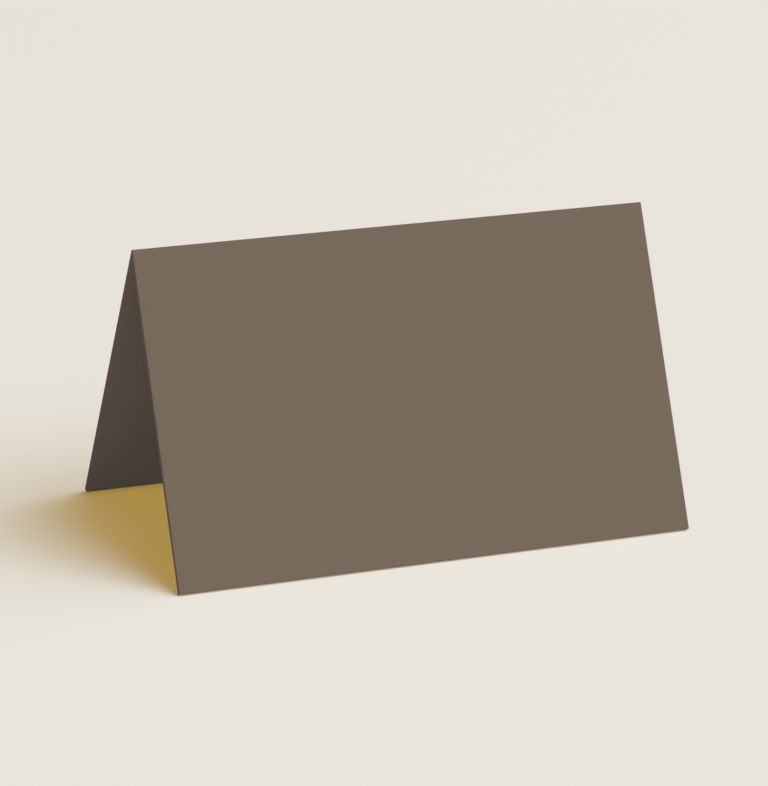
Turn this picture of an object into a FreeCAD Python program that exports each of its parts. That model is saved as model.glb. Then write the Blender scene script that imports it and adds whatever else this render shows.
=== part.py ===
import FreeCAD, Part
import math
import os
import Sketcher

# Place card: one sheet of heavy uncoated board, creased across its middle and folded into a tent.
#
# It is one piece. The two panels are joined only along the fold, and the card stands on their cut
# edges. The space between them runs through from end to end and is open below.
#
# Frame: millimetres, +Z up. The fold runs along X and the front panel looks towards -Y. The origin is
# the middle of the footprint, on the surface that the card stands on.

# Driving dimensions: alias, value and what it measures.
DIMENSIONS = (
    ("sheet_width", 89, "the sheet across, along the fold"),
    ("panel_length", 55, "the flat sheet from the middle of the crease to a cut edge, on its outer side"),
    ("card_thickness", 0.75, "caliper of the board"),
    ("opening_angle", 51.8, "degrees between the two panels as the card stands"),
    ("fold_outer_radius", 0.3, "outside of the fold, which the creasing rule presses sharp"),
    ("crease_bead_radius", 0.6, "bead of board that the rule raises along the inside of the fold"),
    ("corner_radius", 0.25, "the four corners of the sheet, as the die cuts them"),
)

SIZES = "Sizes"
NODE = "folded_card"

# The Sketcher's numbers for a line's or an arc's points, and for the sketch's own axes.
POINT = {"start": 1, "end": 2, "centre": 3}
AXIS = {"across": -1, "up": -2}


def add_sizes(doc):
    """Put the driving dimensions in the spreadsheet that the sketch and the features are bound to."""
    sheet = doc.addObject("Spreadsheet::Sheet", SIZES)
    for row, (alias, value, meaning) in enumerate(DIMENSIONS, start=1):
        sheet.set(f"A{row}", alias)
        sheet.set(f"B{row}", str(value))
        sheet.set(f"C{row}", meaning)
        sheet.setAlias(f"B{row}", alias)
    doc.recompute()
    return sheet


def origin_plane(body, role):
    """Return the body's own origin plane of that role."""
    return next(plane for plane in body.Origin.OriginFeatures if plane.Role == role)


def draw_section(sketch, sizes):
    """Draw the section near its final shape: two straight panels that meet in the fold.

    The sketch's first direction runs from the front panel to the back one, and its second is up.
    """
    half = math.radians(sizes.opening_angle / 2)
    turn = math.pi / 2 - half
    thickness = sizes.card_thickness
    ridge_radius = sizes.fold_outer_radius
    bead_radius = sizes.crease_bead_radius
    straight = sizes.panel_length - ridge_radius * turn

    inside_apex = (straight + ridge_radius / math.tan(half) - thickness / math.tan(half)) * math.cos(half)
    ridge_height = inside_apex + (thickness - ridge_radius) / math.sin(half)
    ridge_centre = FreeCAD.Vector(0, ridge_height, 0)
    bead_centre = FreeCAD.Vector(0, inside_apex, 0)

    def outward(side):
        return FreeCAD.Vector(side * math.cos(half), math.sin(half), 0)

    def downward(side):
        return FreeCAD.Vector(side * math.sin(half), -math.cos(half), 0)

    def panel_points(side):
        top = ridge_centre + outward(side) * ridge_radius
        foot = top + downward(side) * straight
        inner_foot = foot - outward(side) * thickness
        inner_top = bead_centre + downward(side) * bead_radius
        return top, foot, inner_foot, inner_top

    def line(start, end):
        return sketch.addGeometry(Part.LineSegment(start, end), False)

    def arc(centre, radius, first, last):
        circle = Part.Circle(centre, FreeCAD.Vector(0, 0, 1), radius)
        return sketch.addGeometry(Part.ArcOfCircle(circle, first, last), False)

    front_top, front_foot, front_inner_foot, front_inner_top = panel_points(-1)
    back_top, back_foot, back_inner_foot, back_inner_top = panel_points(1)
    down = 1.5 * math.pi
    return {
        "front_face": line(front_foot, front_top),
        "ridge": arc(ridge_centre, ridge_radius, half, math.pi - half),
        "back_face": line(back_top, back_foot),
        "back_edge": line(back_foot, back_inner_foot),
        "back_inside": line(back_inner_foot, back_inner_top),
        "bead": arc(bead_centre, bead_radius, down - half, down + half),
        "front_inside": line(front_inner_top, front_inner_foot),
        "front_edge": line(front_inner_foot, front_foot),
    }


def hold_section(sketch, part, sizes):
    """Constrain the section: what touches what, and then the sizes from the spreadsheet."""

    def hold(kind, *where):
        return sketch.addConstraint(Sketcher.Constraint(kind, *where))

    def join(kind, first, first_point, second, second_point):
        hold(kind, part[first], POINT[first_point], part[second], POINT[second_point])

    def measure(name, kind, edge, value, expression):
        index = hold(kind, part[edge], value)
        sketch.renameConstraint(index, name)
        sketch.setExpression("Constraints." + name, expression)

    # The outline is closed. An arc runs anticlockwise, so the ridge ends at the front panel.
    join("Tangent", "front_face", "end", "ridge", "end")
    join("Tangent", "ridge", "start", "back_face", "start")
    join("Coincident", "back_face", "end", "back_edge", "start")
    join("Coincident", "back_edge", "end", "back_inside", "start")
    join("Coincident", "back_inside", "end", "bead", "end")
    join("Coincident", "bead", "start", "front_inside", "start")
    join("Coincident", "front_inside", "end", "front_edge", "start")
    join("Coincident", "front_edge", "end", "front_face", "start")

    # Both panels have one thickness and square cut edges, and the tent is the same front and back.
    for side in ("front", "back"):
        hold("Parallel", part[side + "_face"], part[side + "_inside"])
        hold("Perpendicular", part[side + "_face"], part[side + "_edge"])
        hold("PointOnObject", part["bead"], POINT["centre"], part[side + "_inside"])
    for bend in ("ridge", "bead"):
        hold("PointOnObject", part[bend], POINT["centre"], AXIS["up"])
    hold("Equal", part["front_face"], part["back_face"])
    hold("Equal", part["front_edge"], part["back_edge"])
    hold("PointOnObject", part["front_inside"], POINT["end"], AXIS["across"])

    slope = math.pi / 2 - math.radians(sizes.opening_angle / 2)
    straight = sizes.panel_length - sizes.fold_outer_radius * slope
    slope_rule = f"(90 - {SIZES}.opening_angle / 2)"
    straight_rule = f"{SIZES}.panel_length - {SIZES}.fold_outer_radius * {slope_rule} * pi / 180"
    measure("panel_slope", "Angle", "front_face", slope, f"{slope_rule} * 1 deg")
    measure("panel_straight", "Distance", "front_face", straight, straight_rule)
    measure("caliper", "Distance", "front_edge", sizes.card_thickness, f"{SIZES}.card_thickness")
    measure("ridge_radius", "Radius", "ridge", sizes.fold_outer_radius, f"{SIZES}.fold_outer_radius")
    measure("bead_radius", "Radius", "bead", sizes.crease_bead_radius, f"{SIZES}.crease_bead_radius")


def corner_edges(shape, thickness):
    """Name the short edges that run through the board at the four corners of the sheet."""
    nothing = 1e-6
    names = []
    for number, edge in enumerate(shape.Edges, start=1):
        box = edge.BoundBox
        if box.XLength < nothing and box.ZMax < thickness:
            names.append(f"Edge{number}")
    return names


def build_card(doc, sizes):
    """Fold the sheet: its section in the YZ plane, drawn out along the fold, then the cut corners."""
    body = doc.addObject("PartDesign::Body", "FoldedCard")
    body.Label = NODE
    body.Placement = FreeCAD.Placement(FreeCAD.Vector(0, 0, 0), FreeCAD.Rotation())

    section = body.newObject("Sketcher::SketchObject", "SheetSection")
    section.AttachmentSupport = (origin_plane(body, "YZ_Plane"), "")
    section.MapMode = "FlatFace"
    hold_section(section, draw_section(section, sizes), sizes)

    sheet = body.newObject("PartDesign::Pad", "FoldedSheet")
    sheet.Profile = section
    sheet.Midplane = True
    sheet.setExpression("Length", f"{SIZES}.sheet_width")
    doc.recompute()

    corners = body.newObject("PartDesign::Fillet", "CutCorners")
    corners.Base = (sheet, corner_edges(sheet.Shape, sizes.card_thickness))
    corners.setExpression("Radius", f"{SIZES}.corner_radius")
    doc.recompute()
    return body


def check(doc, body):
    """Stop if anything in the document failed, or if the card isn't one sound solid."""
    for item in doc.Objects:
        if "Invalid" in item.State or "Error" in item.State:
            raise RuntimeError(f"{item.Name} failed: {item.State}")
    if body.Shape.isNull() or not body.Shape.isValid():
        raise RuntimeError(f"{body.Label} has no valid shape")
    if len(body.Shape.Solids) != 1:
        raise RuntimeError(f"{body.Label} is {len(body.Shape.Solids)} solids, not one")


def main():
    doc = FreeCAD.newDocument("PlaceCard")
    card = build_card(doc, add_sizes(doc))
    check(doc, card)
    os.makedirs("parts", exist_ok=True)
    card.Shape.exportStep(f"parts/{card.Label}.step")
    box = card.Shape.BoundBox
    print(f"{card.Label}: {box.XLength:.2f} x {box.YLength:.2f} x {box.ZLength:.2f} mm,"
          f" lowest at {box.ZMin:.4f}, {card.Shape.Volume:.1f} cubic mm")


main()
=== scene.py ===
import math

import bpy
from mathutils import Matrix, Vector


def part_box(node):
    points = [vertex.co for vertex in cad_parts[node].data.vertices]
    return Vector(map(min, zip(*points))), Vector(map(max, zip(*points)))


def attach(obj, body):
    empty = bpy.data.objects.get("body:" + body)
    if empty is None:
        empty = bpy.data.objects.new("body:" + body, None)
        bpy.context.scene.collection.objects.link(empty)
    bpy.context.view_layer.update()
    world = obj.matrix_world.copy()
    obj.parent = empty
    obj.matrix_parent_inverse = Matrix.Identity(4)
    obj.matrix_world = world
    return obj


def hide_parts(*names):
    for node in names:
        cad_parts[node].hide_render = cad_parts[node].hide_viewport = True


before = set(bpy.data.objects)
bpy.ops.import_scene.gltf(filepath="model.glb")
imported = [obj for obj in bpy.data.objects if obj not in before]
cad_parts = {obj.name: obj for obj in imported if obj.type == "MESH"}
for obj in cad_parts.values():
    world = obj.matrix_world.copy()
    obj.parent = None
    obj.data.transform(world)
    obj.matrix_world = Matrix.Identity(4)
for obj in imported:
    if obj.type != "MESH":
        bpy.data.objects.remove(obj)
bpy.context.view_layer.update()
mm = 0.001            # one millimetre in the scene's metres
print("frame loaded:", ", ".join(sorted(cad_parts)))


def linearColour(hexText):
    # an sRGB hex value as the linear RGBA that the shaders work in
    channels = [int(hexText[start:start + 2], 16) / 255 for start in (1, 3, 5)]
    linear = [c / 12.92 if c <= 0.04045 else ((c + 0.055) / 1.055) ** 2.4 for c in channels]
    return (*linear, 1.0)


def addNode(tree, kind, settings=None, links=None):
    # settings are the node's properties or its input values, and links are input: output socket. An
    # input goes by its number where names repeat. On a Mix node the factor is 0, the two colours are 6
    # and 7, and the mixed colour is output 2
    node = tree.nodes.new(kind)
    for name, value in (settings or {}).items():
        if isinstance(name, int) or name in node.inputs:
            node.inputs[name].default_value = value
        else:
            setattr(node, name, value)
    for name, source in (links or {}).items():
        tree.links.new(source, node.inputs[name])
    return node


def newMaterial(name):
    material = bpy.data.materials.new(name)
    material.use_nodes = True
    material.node_tree.nodes.clear()
    return material, material.node_tree


def newObject(name, data):
    thing = bpy.data.objects.new(name, data)
    bpy.context.scene.collection.objects.link(thing)
    return thing


def direction(azimuth, elevation):
    # unit vector out to a camera or lamp: azimuth 0 is straight in front (-Y), and it grows towards +X
    turn, climb = math.radians(azimuth), math.radians(elevation)
    return Vector((math.sin(turn) * math.cos(climb), -math.cos(turn) * math.cos(climb), math.sin(climb)))


def aimAt(thing, back, roll=0.0):
    # turns a camera or lamp so that its own +Z is back, and returns its own right and up
    level = Vector((0, 0, 1)).cross(back).normalized()
    plumb = back.cross(level)
    lean = math.radians(roll)
    right = level * math.cos(lean) + plumb * math.sin(lean)
    up = plumb * math.cos(lean) - level * math.sin(lean)
    thing.rotation_euler = Matrix([list(row) for row in zip(right, up, back)]).to_euler()
    return right, up


cameraPlan = {
    "azimuth": -22.6386,        # degrees: in front of the card, a little to its left
    "elevation": 19.6638,
    "roll": 1.628,              # the camera leans by this much
    "distance": 621.93 * mm,
    "target": (0, 0, 25 * mm),
    "shiftRight": -0.756 * mm,  # the camera steps this far across its own view, without turning
    "shiftUp": -3.945 * mm,
    "lens": 177.485,            # plain millimetres, as the sensor's width is
    "sensor": 36,
    "clip": (10 * mm, 50),      # the nearest and the farthest that it sees, in metres
}


def makeCamera(plan):
    data = bpy.data.cameras.new("cardCamera")
    data.sensor_fit = "HORIZONTAL"
    data.sensor_width = plan["sensor"]
    data.lens = plan["lens"]
    data.clip_start, data.clip_end = plan["clip"]
    camera = newObject("cardCamera", data)
    back = direction(plan["azimuth"], plan["elevation"])
    right, up = aimAt(camera, back, plan["roll"])
    step = right * plan["shiftRight"] + up * plan["shiftUp"]
    camera.location = Vector(plan["target"]) + back * plan["distance"] + step
    bpy.context.scene.camera = camera


makeCamera(cameraPlan)
print("camera placed")

cardPlan = {
    "node": "folded_card",
    "board": 0.75 * mm,         # caliper of the sheet
    "foldRadius": 0.3 * mm,     # outside of the fold, which is creased first and then pressed
    "beadRadius": 0.6 * mm,     # bead of board that the creasing rule raises inside the fold
    "cornerRadius": 0.25 * mm,  # corners of the sheet, as the die cuts them
    "outerArris": 0.05 * mm,    # the cutting rule draws this edge of the sheet down
    "innerArris": 0.025 * mm,   # and leaves this one crisper
    "gridStep": 1.2 * mm,       # mesh of the flat panels
    "cornerSteps": 6,
    "bendSteps": 10,            # from each end of the bead's arc to the ridge's, and on to its top
    "arrisSteps": 4,
    "wallSteps": 6,             # through the thickness of a cut edge
    "cockle": 0.012 * mm,       # height of the longest wave in a panel
    "cockleWaves": (
        # wavelength down the sheet and along the fold, start of the wave, share of the cockle. Where
        # one wavelength is negative, the wave slants the other way
        (55 * mm, 88 * mm, 0.6, 1.0),
        (39 * mm, -53 * mm, 2.1, 0.8),
        (22 * mm, 30 * mm, 4.0, 0.5),
    ),
}


def measureFold(plan):
    # the folded section, worked out from the CAD box and the board's own sizes; pairs are (y, z)
    low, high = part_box(plan["node"])
    board, radius = plan["board"], plan["foldRadius"]
    half = math.atan2(high.y, high.z)  # half the opening angle, which settles in a few rounds
    rounds = 20
    for _ in range(rounds):
        rise = high.z - radius + (radius - board) * math.sin(half)
        half = math.atan2(high.y - radius * math.cos(half), rise)
    straight = rise / math.cos(half)
    inside = straight + (radius - board) / math.tan(half)
    return {
        "half": half,
        "outward": Vector((-math.cos(half), math.sin(half))),  # square to the front panel
        "upward": Vector((math.sin(half), math.cos(half))),    # up the front panel
        "foot": Vector((-high.y, board * math.sin(half))),     # outer edge of the front foot
        "touch": high.y - board * math.cos(half),              # where each foot meets the floor
        "ridgeCentre": Vector((0, high.z - radius)),
        "beadCentre": Vector((0, inside * math.cos(half))),
        "straight": straight,
        "beadStart": inside - plan["beadRadius"],
        "length": straight + radius * (math.pi / 2 - half),    # foot to the middle of the fold
        "halfWidth": (high.x - low.x) / 2,
        "top": high.z,
    }


fold = measureFold(cardPlan)
print("fold: %.2f degrees open, panels %.2f mm" % (2 * math.degrees(fold["half"]), fold["length"] / mm))


def cockleAt(down, across, plan, fold):
    # a slow rise and fall of each panel, which dies out at the feet, at the fold and in the bead
    calm = math.sin(math.pi * min(abs(down) / fold["length"], 1)) ** 2
    waves = [share * math.sin(2 * math.pi * (down / longWave + across / wideWave) + start)
             for longWave, wideWave, start, share in plan["cockleWaves"]]
    return plan["cockle"] * calm * sum(waves)


def bendSheet(down, across, depth, plan, fold):
    # takes a point of the flat sheet to the folded card. down runs from the front foot (-) over the
    # ridge (0) to the back foot (+), across runs along the fold, and depth goes in from the outer side
    fromFoot = fold["length"] - abs(down)
    if fromFoot <= fold["straight"]:
        outer = fold["foot"] + fold["upward"] * fromFoot
    else:
        turn = fold["half"] + (fromFoot - fold["straight"]) / plan["foldRadius"]
        outer = fold["ridgeCentre"] + plan["foldRadius"] * Vector((-math.cos(turn), math.sin(turn)))
    if fromFoot <= fold["beadStart"]:
        inner = fold["foot"] - fold["outward"] * plan["board"] + fold["upward"] * fromFoot
    else:
        share = (fromFoot - fold["beadStart"]) / (fold["length"] - fold["beadStart"])
        swing = fold["half"] * (1 - share)
        inner = fold["beadCentre"] - plan["beadRadius"] * Vector((math.sin(swing), math.cos(swing)))
    spot = outer.lerp(inner, depth / plan["board"])
    spot += fold["outward"] * cockleAt(down, across, plan, fold)
    return Vector((across, spot.x if down <= 0 else -spot.x, spot.y))


def evenSteps(start, end, count):
    # count values from start on, evenly spaced, of which end would be the next
    return [start + (end - start) * i / count for i in range(count)]


def sheetStations(plan, fold):
    # where the mesh has its rows and columns: close together at the corners and round the fold
    corner, step = plan["cornerRadius"], plan["gridStep"]
    cornerRows = [corner * i / plan["cornerSteps"] for i in range(1, plan["cornerSteps"] + 1)]

    def withCorners(middle):
        end = middle[-1]
        return [-end - c for c in reversed(cornerRows)] + middle + [end + c for c in cornerRows]

    panelEnd = fold["length"] - corner
    beadEnd = fold["length"] - fold["beadStart"]
    bendEnd = fold["length"] - fold["straight"]
    panel = evenSteps(panelEnd, beadEnd, round((panelEnd - beadEnd) / step))
    bends = evenSteps(beadEnd, bendEnd, plan["bendSteps"]) + evenSteps(bendEnd, 0, plan["bendSteps"])
    halfSheet = panel + bends
    middleEnd = fold["halfWidth"] - corner
    columns = evenSteps(-middleEnd, middleEnd, round(2 * middleEnd / step)) + [middleEnd]
    return withCorners([-d for d in halfSheet] + [0.0] + halfSheet[::-1]), withCorners(columns)


def cutOutline(down, across, inset, plan, fold):
    # rounds the four corners and draws the sheet's outline in by inset
    corner = plan["cornerRadius"]
    reach = [(down, fold["length"]), (across, fold["halfWidth"])]
    # how far the point lies in a corner's square, from 0 to 1, and then where that is in a round corner
    deep, wide = [max(0.0, (abs(value) - (end - corner)) / corner) for value, end in reach]
    over = [deep * math.sqrt(1 - wide * wide / 2), wide * math.sqrt(1 - deep * deep / 2)]
    return [math.copysign(end - corner + past * (corner - inset), value) if past > 0 else value
            for (value, end), past in zip(reach, over)]


def edgeProfile(plan):
    # (inset, depth) of the cut edge, from the outer side of the board to the inner one
    board, outer, inner = plan["board"], plan["outerArris"], plan["innerArris"]
    angles = [math.pi / 2 * k / plan["arrisSteps"] for k in range(plan["arrisSteps"] + 1)]
    down = [(outer * (1 - math.sin(t)), outer * (1 - math.cos(t))) for t in angles[1:]]
    wall = [(0.0, depth) for depth in evenSteps(outer, board - inner, plan["wallSteps"])[1:]]
    under = [(inner * (1 - math.sin(t)), board - inner * (1 - math.cos(t))) for t in angles[:0:-1]]
    return down + wall + under


def meshCard(plan, fold):
    rows, columns = sheetStations(plan, fold)
    lastRow, lastColumn = len(rows) - 1, len(columns) - 1
    vertices, faces, slots = [], [], []
    faceSlot, edgeSlot = 0, 1  # in the order in which makeCard adds the materials

    def addPoint(row, column, inset, depth):
        down, across = cutOutline(rows[row], columns[column], inset, plan, fold)
        vertices.append(bendSheet(down, across, depth, plan, fold))
        return len(vertices) - 1

    def addSide(inset, depth):
        return [[addPoint(i, j, inset, depth) for j in range(len(columns))] for i in range(len(rows))]

    outer = addSide(plan["outerArris"], 0.0)
    inner = addSide(plan["innerArris"], plan["board"])
    for i in range(lastRow):
        for j in range(lastColumn):
            faces.append((outer[i][j], outer[i][j + 1], outer[i + 1][j + 1], outer[i + 1][j]))
            faces.append((inner[i][j], inner[i + 1][j], inner[i + 1][j + 1], inner[i][j + 1]))
            slots += [faceSlot, faceSlot]

    # the cut edge goes once round the sheet, as rings between its outer and inner side
    rim = [(0, j) for j in range(lastColumn)] + [(i, lastColumn) for i in range(lastRow)]
    rim += [(lastRow, j) for j in range(lastColumn, 0, -1)] + [(i, 0) for i in range(lastRow, 0, -1)]
    rings = [[outer[i][j] for i, j in rim]]
    for inset, depth in edgeProfile(plan):
        rings.append([addPoint(i, j, inset, depth) for i, j in rim])
    rings.append([inner[i][j] for i, j in rim])
    for above, below in zip(rings, rings[1:]):
        for k in range(len(rim)):
            after = (k + 1) % len(rim)
            faces.append((above[k], below[k], below[after], above[after]))
            slots.append(edgeSlot)
    return vertices, faces, slots


def makeCard(plan, fold, faceMaterial, edgeMaterial):
    vertices, faces, slots = meshCard(plan, fold)
    mesh = bpy.data.meshes.new("foldedCardBoard")
    mesh.from_pydata(vertices, [], faces)
    mesh.materials.append(faceMaterial)
    mesh.materials.append(edgeMaterial)
    mesh.polygons.foreach_set("material_index", slots)
    mesh.polygons.foreach_set("use_smooth", [True] * len(faces))
    mesh.update()
    card = newObject("foldedCardBoard", mesh)
    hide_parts(plan["node"])
    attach(card, "root")
    return card


boardPlan = {
    "faceColour": "#786A5B",
    # the cut edge: darker than the face for its packed fibres, and partly painted shade
    "edgeColourWithShade": "#625345",
    "ior": 1.4,               # cellulose is 1.5, and open felted fibres reflect less
    "faceRoughness": (0.84, 0.92),
    "edgeRoughness": (0.88, 0.96),
    "facePatterns": {
        # how large each one is in X, Y and Z. The fibres lie along the fold, and are drawn thicker than
        # real ones, which at 0.03 mm are too fine to show
        "cloud": (4.5 * mm, 4.5 * mm, 4.5 * mm),  # where the pulp lay thicker or thinner on the wire
        "fibre": (1.8 * mm, 0.2 * mm, 0.2 * mm),
        "tooth": (0.3 * mm, 0.3 * mm, 0.3 * mm),  # grain that the felts leave
    },
    "edgePatterns": {
        # the same along the fold, through the board and up the panel. The plies are the webs that are
        # pressed into one board, drawn thicker than real ones, which at 0.1 mm are too fine to show
        "ply": (6 * mm, 0.2 * mm, 6 * mm),
        "nick": (0.2 * mm, 0.4 * mm, 0.2 * mm),  # torn fibres
    },
    "cloudDepth": 0.008,
    "fibreDepth": 0.025,
    "toothHeight": 0.006 * mm,
    "paleFold": 0.35 * mm,    # the crease stretches the outer fibres this far down from the ridge
    "paleFoldDepth": 0.03,
    "plyDepth": 0.13,
    "cutZone": 0.35,          # share of the thickness that the rule sheared before the rest burst
    "cutZoneBlur": 0.1,
    "cutZoneDepth": 0.07,
    "nickHeight": 0.01 * mm,
}
noiseRange = (0.3, 0.7)  # most of a noise texture's values lie between these


def boardPatterns(tree, sizes, place):
    # the fine marks of the board: a noise texture of each name's own size
    patterns = {}
    for name, size in sizes.items():
        drawn = addNode(tree, "ShaderNodeMapping", {"Scale": [1 / side for side in size]},
                        {"Vector": place})
        noise = addNode(tree, "ShaderNodeTexNoise", {"Scale": 1.0}, {"Vector": drawn.outputs[0]})
        patterns[name] = noise.outputs[0]
    return patterns


def shadeColour(tree, hexText, shades):
    # a colour times several shades, each (pattern, its low and high value, share taken and added there)
    total = None
    for pattern, (low, high), depth in shades:
        shade = addNode(tree, "ShaderNodeMapRange",
                        {"From Min": low, "From Max": high, "To Min": 1 - depth, "To Max": 1 + depth},
                        {"Value": pattern}).outputs[0]
        if total:
            shade = addNode(tree, "ShaderNodeMath", {"operation": "MULTIPLY"},
                            {0: total, 1: shade}).outputs[0]
        total = shade
    colour = addNode(tree, "ShaderNodeMix",
                     {"data_type": "RGBA", "blend_type": "MULTIPLY", 0: 1.0, 6: linearColour(hexText)},
                     {7: total})
    return colour.outputs[2]


def finishBoard(tree, plan, colour, rough, relief):
    # the board's shader. rough is (pattern, its low and high value, roughness there), and relief is
    # (pattern, height)
    pattern, (low, high), (smooth, coarse) = rough
    roughness = addNode(tree, "ShaderNodeMapRange",
                        {"From Min": low, "From Max": high, "To Min": smooth, "To Max": coarse},
                        {"Value": pattern})
    pattern, height = relief
    bump = addNode(tree, "ShaderNodeBump", {"Distance": height}, {"Height": pattern})
    shader = addNode(tree, "ShaderNodeBsdfPrincipled", {"IOR": plan["ior"]},
                     {"Base Color": colour, "Roughness": roughness.outputs[0], "Normal": bump.outputs[0]})
    addNode(tree, "ShaderNodeOutputMaterial", links={"Surface": shader.outputs[0]})


def makeFaceBoard(plan, fold):
    # wove cotton board, dyed in the pulp and pressed between felts: one dead matt colour without a
    # highlight, with clouds and fibres that are faint even from close by
    material, tree = newMaterial("woveBoardDyedInPulp")
    place = addNode(tree, "ShaderNodeTexCoord").outputs["Object"]
    patterns = boardPatterns(tree, plan["facePatterns"], place)
    height = addNode(tree, "ShaderNodeSeparateXYZ", links={0: place}).outputs["Z"]
    # the stretched fibres are palest on the ridge itself, and the shade is 1 where they start
    palest = (fold["top"] - 2 * plan["paleFold"], fold["top"])
    foldHeight = addNode(tree, "ShaderNodeMath",
                         {"operation": "MAXIMUM", 1: fold["top"] - plan["paleFold"]},
                         {0: height}).outputs[0]
    colour = shadeColour(tree, plan["faceColour"], (
        (patterns["cloud"], noiseRange, plan["cloudDepth"]),
        (patterns["fibre"], noiseRange, plan["fibreDepth"]),
        (foldHeight, palest, plan["paleFoldDepth"]),
    ))
    finishBoard(tree, plan, colour, (patterns["tooth"], noiseRange, plan["faceRoughness"]),
                (patterns["tooth"], plan["toothHeight"]))
    return material


def makeCutEdge(plan, fold, thickness):
    # the same board, die-cut with a steel rule: the packed fibres read darker than the faces, and the
    # edge colour is darkened further as painted shade; smooth and darkest next to the outer side, then
    # rougher, with the webs as fine lines along the edge
    material, tree = newMaterial("steelRuleCutBoard")
    place = addNode(tree, "ShaderNodeTexCoord").outputs["Object"]
    mirrored = addNode(tree, "ShaderNodeVectorMath", {"operation": "ABSOLUTE"}, {0: place}).outputs[0]
    out, up = fold["outward"], fold["upward"]
    face = fold["foot"].dot(out)  # the outer side's distance from the card's middle, square to the panel
    inward = addNode(tree, "ShaderNodeVectorMath", {"operation": "DOT_PRODUCT", 1: (0, -out.x, out.y)},
                     {0: mirrored}).outputs["Value"]
    depth = addNode(tree, "ShaderNodeMath", {"operation": "SUBTRACT", 0: face}, {1: inward}).outputs[0]
    along = addNode(tree, "ShaderNodeVectorMath", {"operation": "DOT_PRODUCT", 1: (0, -up.x, up.y)},
                    {0: mirrored}).outputs["Value"]
    across = addNode(tree, "ShaderNodeSeparateXYZ", links={0: place}).outputs["X"]
    onEdge = addNode(tree, "ShaderNodeCombineXYZ", links={0: across, 1: depth, 2: along}).outputs[0]
    patterns = boardPatterns(tree, plan["edgePatterns"], onEdge)
    burst = [(plan["cutZone"] + side * plan["cutZoneBlur"]) * thickness for side in (-1, 1)]
    colour = shadeColour(tree, plan["edgeColourWithShade"], (
        (patterns["ply"], noiseRange, plan["plyDepth"]),
        (depth, burst, plan["cutZoneDepth"]),
    ))
    finishBoard(tree, plan, colour, (depth, burst, plan["edgeRoughness"]),
                (patterns["nick"], plan["nickHeight"]))
    return material


faceBoard = makeFaceBoard(boardPlan, fold)
cutEdge = makeCutEdge(boardPlan, fold, cardPlan["board"])
cardPiece = makeCard(cardPlan, fold, faceBoard, cutEdge)
print("card made:", len(cardPiece.data.polygons), "faces")

studioPlan = {
    "floorSize": 12,          # metres
    "floorPaper": "#E8E4DB",
    "skyLevel": 0.081,
    "keyLevel": 0.629,        # what both softboxes give a white floor, where 1 is full white
    "openLevel": 0.705,       # what all the light gives the open floor
    "shadowGold": "#A38020",  # painted shadow: the glow the floor shows where the card keeps all the light off it
    "cornerShade": 0.72,      # painted contact shadow: less of the glow is left in the corners under the two panels
    "cornerReach": 2.2 * mm,
    "footShadowGlow": "#917A4B",    # and the line under the lean of a cut edge is a painted brown contact shadow
    "footBlur": 0.1 * mm,
    "bouncePaper": 1.0,       # share of its light that the floor sends back to the card
    "bounceGlow": 0.31,       # and what it adds to that by itself, outside the card
    "tentGlow": "#8E93A0",    # and between its panels
    "lampDistance": 8,        # metres
    "lampTarget": (0, 0, 25 * mm),
    "softboxes": (
        # azimuth, elevation, half of the angle that it fills, share of the key light
        (42.55, 48.76, 23.7, 0.5),
        (65.57, 51.39, 41.3, 0.5),
    ),
}


def shownDirectly(tree):
    # 1 for a ray that shows the surface itself, straight, mirrored or through glass, and 0 for light
    # that bounces off it
    path = addNode(tree, "ShaderNodeLightPath")
    shown = path.outputs["Is Camera Ray"]
    for ray in ("Is Glossy Ray", "Is Transmission Ray"):
        shown = addNode(tree, "ShaderNodeMath", {"operation": "MAXIMUM"},
                        {0: shown, 1: path.outputs[ray]}).outputs[0]
    return shown


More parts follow.
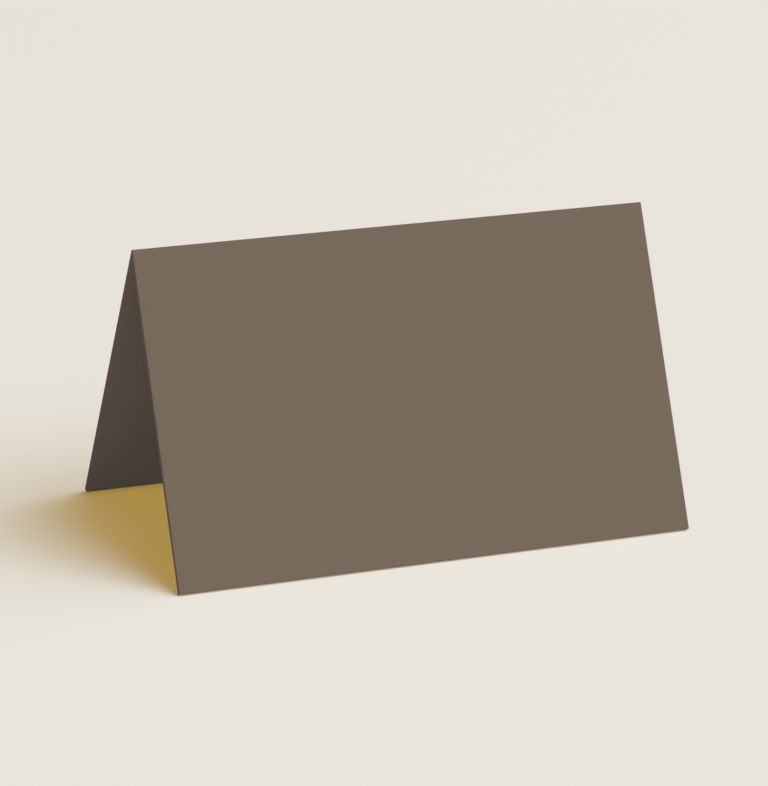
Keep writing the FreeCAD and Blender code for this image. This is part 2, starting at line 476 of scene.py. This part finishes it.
def makeFloorPaper(plan, fold):
    # pale seamless paper, machine finished and matt: an even warm white, and a painted gold
    # glow shows where the card shades it
    material, tree = newMaterial("paleSeamlessPaper")
    paper, gold = linearColour(plan["floorPaper"]), linearColour(plan["shadowGold"])
    # it glows gold by itself as painted light, which shows as the card's gold shadow, and full light
    # brings that up to the colour of the paper
    lit = [(paper[k] - gold[k]) / plan["openLevel"] for k in range(3)] + [1]

    # how far a point of the floor lies out from the card's middle, across the fold and along it
    place = addNode(tree, "ShaderNodeTexCoord").outputs["Object"]
    mirrored = addNode(tree, "ShaderNodeVectorMath", {"operation": "ABSOLUTE"}, {0: place}).outputs[0]
    axes = addNode(tree, "ShaderNodeSeparateXYZ", links={0: mirrored})
    sideways, outward = axes.outputs["X"], axes.outputs["Y"]
    pastEnd = addNode(tree, "ShaderNodeMath",
                      {"operation": "SUBTRACT", 1: fold["halfWidth"], "use_clamp": True},
                      {0: sideways}).outputs[0]

    def clearOf(line, near, far, share):
        # 1 on open floor and share on a line parallel to the fold, as long as the card
        off = addNode(tree, "ShaderNodeMath", {"operation": "SUBTRACT", 1: line}, {0: outward}).outputs[0]
        both = addNode(tree, "ShaderNodeCombineXYZ", links={0: pastEnd, 1: off}).outputs[0]
        gap = addNode(tree, "ShaderNodeVectorMath", {"operation": "LENGTH"}, {0: both}).outputs["Value"]
        shade = addNode(tree, "ShaderNodeMapRange",
                        {"From Min": near, "From Max": far, "To Min": share, "To Max": 1.0},
                        {"Value": gap})
        return shade.outputs[0]

    # painted contact shadow in the corners under the panels, and in the line under each foot's cut edge
    lean = -fold["foot"].x - fold["touch"]  # how far a cut edge leans out over the floor
    clearOfFoot = clearOf(fold["touch"] + lean / 2, lean / 2 - plan["footBlur"], lean / 2, 0.0)
    clearOfCorner = clearOf(fold["touch"], 0.0, plan["cornerReach"], plan["cornerShade"])
    outside = addNode(tree, "ShaderNodeMath", {"operation": "GREATER_THAN", 1: fold["touch"]},
                      {0: outward}).outputs[0]
    clearOfCorner = addNode(tree, "ShaderNodeMath", {"operation": "MAXIMUM"},
                            {0: clearOfCorner, 1: outside}).outputs[0]
    footShadowColour = addNode(tree, "ShaderNodeMix",
                         {"data_type": "RGBA", 6: linearColour(plan["footShadowGlow"]), 7: gold},
                         {0: clearOfFoot}).outputs[2]
    shownGlow = addNode(tree, "ShaderNodeMix", {"data_type": "RGBA", 6: (0, 0, 0, 1)},
                        {0: clearOfCorner, 7: footShadowColour}).outputs[2]

    # the floor sends no gold back to the card, so that the board keeps its own colour
    shown = shownDirectly(tree)
    bounce = [plan["bouncePaper"]] * 3 + [1]
    bounceGlow = [plan["bounceGlow"]] * 3 + [1]
    between = addNode(tree, "ShaderNodeMath", {"operation": "LESS_THAN", 1: fold["touch"]},
                      {0: outward}).outputs[0]
    within = addNode(tree, "ShaderNodeMath", {"operation": "LESS_THAN", 1: fold["halfWidth"]},
                     {0: sideways}).outputs[0]
    underCard = addNode(tree, "ShaderNodeMath", {"operation": "MULTIPLY"},
                        {0: between, 1: within}).outputs[0]
    bouncedGlow = addNode(tree, "ShaderNodeMix",
                          {"data_type": "RGBA", 6: bounceGlow, 7: linearColour(plan["tentGlow"])},
                          {0: underCard}).outputs[2]
    colour = addNode(tree, "ShaderNodeMix", {"data_type": "RGBA", 6: bounce, 7: lit},
                     {0: shown}).outputs[2]
    glow = addNode(tree, "ShaderNodeMix", {"data_type": "RGBA"},
                   {0: shown, 6: bouncedGlow, 7: shownGlow}).outputs[2]
    diffuse = addNode(tree, "ShaderNodeBsdfDiffuse", links={"Color": colour})
    emission = addNode(tree, "ShaderNodeEmission", {"Strength": 1.0}, {"Color": glow})
    surface = addNode(tree, "ShaderNodeAddShader", links={0: diffuse.outputs[0], 1: emission.outputs[0]})
    addNode(tree, "ShaderNodeOutputMaterial", links={"Surface": surface.outputs[0]})
    return material


def makeFloor(plan, fold):
    mesh = bpy.data.meshes.new("floorPaper")
    edge = plan["floorSize"] / 2
    corners = [(-edge, -edge, 0), (edge, -edge, 0), (edge, edge, 0), (-edge, edge, 0)]
    mesh.from_pydata(corners, [], [(0, 1, 2, 3)])
    mesh.materials.append(makeFloorPaper(plan, fold))
    newObject("floorPaper", mesh)


def makeSoftbox(name, azimuth, elevation, halfAngle, level, plan):
    distance = plan["lampDistance"]
    radius = distance * math.tan(math.radians(halfAngle))
    data = bpy.data.lights.new(name, "AREA")
    data.shape = "DISK"
    data.size = 2 * radius
    # the power that gives a white floor this level
    data.energy = level * math.pi ** 2 * (radius ** 2 + distance ** 2) / math.sin(math.radians(elevation))
    lamp = newObject(name, data)
    away = direction(azimuth, elevation)
    aimAt(lamp, away)
    lamp.location = Vector(plan["lampTarget"]) + away * distance
    lamp.visible_camera = False


def makeWorld(plan):
    world = bpy.data.worlds.new("studioWorld")
    bpy.context.scene.world = world
    world.use_nodes = True
    tree = world.node_tree
    tree.nodes.clear()
    sky = addNode(tree, "ShaderNodeBackground", {"Color": (1, 1, 1, 1), "Strength": plan["skyLevel"]})
    backdrop = addNode(tree, "ShaderNodeBackground",
                       {"Color": linearColour(plan["floorPaper"]), "Strength": 1.0})
    seen = addNode(tree, "ShaderNodeMixShader",
                   links={0: shownDirectly(tree), 1: sky.outputs[0], 2: backdrop.outputs[0]})
    addNode(tree, "ShaderNodeOutputWorld", links={"Surface": seen.outputs[0]})


makeFloor(studioPlan, fold)
for number, (azimuth, elevation, halfAngle, share) in enumerate(studioPlan["softboxes"], start=1):
    level = share * studioPlan["keyLevel"]
    makeSoftbox("softbox%d" % number, azimuth, elevation, halfAngle, level, studioPlan)
makeWorld(studioPlan)
bpy.context.scene.view_settings.view_transform = "Standard"
print("studio lit")
